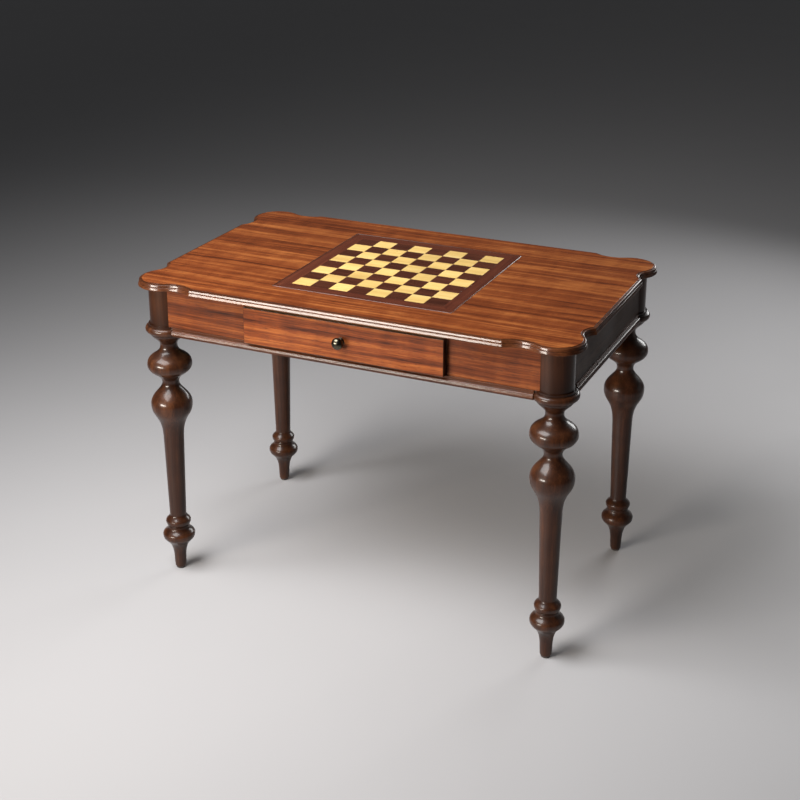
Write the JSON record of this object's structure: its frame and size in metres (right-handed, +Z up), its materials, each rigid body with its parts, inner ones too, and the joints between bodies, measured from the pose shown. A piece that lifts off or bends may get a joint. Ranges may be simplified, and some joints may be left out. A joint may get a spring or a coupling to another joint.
{
  "type": "gaming table",
  "caption": "Rectangular gaming table with an inlaid chessboard panel that lifts out, turned legs, a scalloped beaded top and an apron drawer with a round knob.",
  "frame": {"origin": "middle of the table's plan, at the floor, halfway between the four leg axes", "axes": "+X along the long side to the table's right, -Y towards the drawer side, +Z up; the drawer's knob and its 17 mm of opening reach 6 mm further from the origin at the front than the top does at the back"},
  "size_m": [1.083, 0.6712, 0.762],
  "materials": {
    "cherry": "reddish-brown ribbon-grained veneer under satin lacquer",
    "dark_lacquer": "dark brown stained hardwood under glossy lacquer",
    "rosewood": "dark red-brown veneer under satin lacquer",
    "maple": "light maple squares and dark red-brown squares under satin lacquer",
    "inner_wood": "plain planed secondary hardwood",
    "plywood": "sanded plywood",
    "bronze": "antique bronze, dark and polished on the high parts",
    "steel": "zinc-plated steel",
    "nylon": "dark brown nylon"
  },
  "bodies": {
    "frame": {"table_top": "cherry", "leg_front_left": "dark_lacquer", "foot_glide_front_left": "nylon", "corner_block_front_left": "inner_wood", "hanger_bolt_front_left": "steel", "bolt_nut_front_left": "steel", "leg_front_right": "dark_lacquer", "foot_glide_front_right": "nylon", "corner_block_front_right": "inner_wood", "hanger_bolt_front_right": "steel", "bolt_nut_front_right": "steel", "leg_back_left": "dark_lacquer", "foot_glide_back_left": "nylon", "corner_block_back_left": "inner_wood", "hanger_bolt_back_left": "steel", "bolt_nut_back_left": "steel", "leg_back_right": "dark_lacquer", "foot_glide_back_right": "nylon", "corner_block_back_right": "inner_wood", "hanger_bolt_back_right": "steel", "bolt_nut_back_right": "steel", "apron_back": "cherry", "top_cleat_back": "inner_wood", "apron_left": "dark_lacquer", "top_cleat_left": "inner_wood", "apron_right": "dark_lacquer", "top_cleat_right": "inner_wood", "moulding_back": "dark_lacquer", "moulding_left": "dark_lacquer", "moulding_front": "dark_lacquer", "moulding_right": "dark_lacquer", "rail_lower_front": "cherry", "rail_upper_front": "inner_wood", "apron_front_left": "cherry", "drawer_runner_left": "inner_wood", "drawer_guide_left": "inner_wood", "drawer_kicker_left": "inner_wood", "drawer_stop_left": "inner_wood", "apron_front_right": "cherry", "drawer_runner_right": "inner_wood", "drawer_guide_right": "inner_wood", "drawer_kicker_right": "inner_wood", "drawer_stop_right": "inner_wood"},
    "drawer": {"drawer_front": "cherry", "drawer_side_left": "inner_wood", "drawer_side_right": "inner_wood", "drawer_rear": "inner_wood", "drawer_bottom": "plywood", "knob_rosette": "bronze", "drawer_knob": "bronze", "knob_screw": "steel"},
    "board": {"board_panel": "plywood", "playing_field": "maple", "board_border_back": "rosewood", "board_border_left": "rosewood", "board_border_front": "rosewood", "board_border_right": "rosewood"}
  },
  "joints": [
    {"name": "drawer_slide", "type": "slide", "parent": "frame", "child": "drawer", "axis": [0, -1, 0], "range_m": [-0.017, 0.27]},
    {"name": "board_lift", "type": "slide", "parent": "frame", "child": "board", "axis": [0, 0, 1], "range_m": [0, 0.06]}
  ]
}
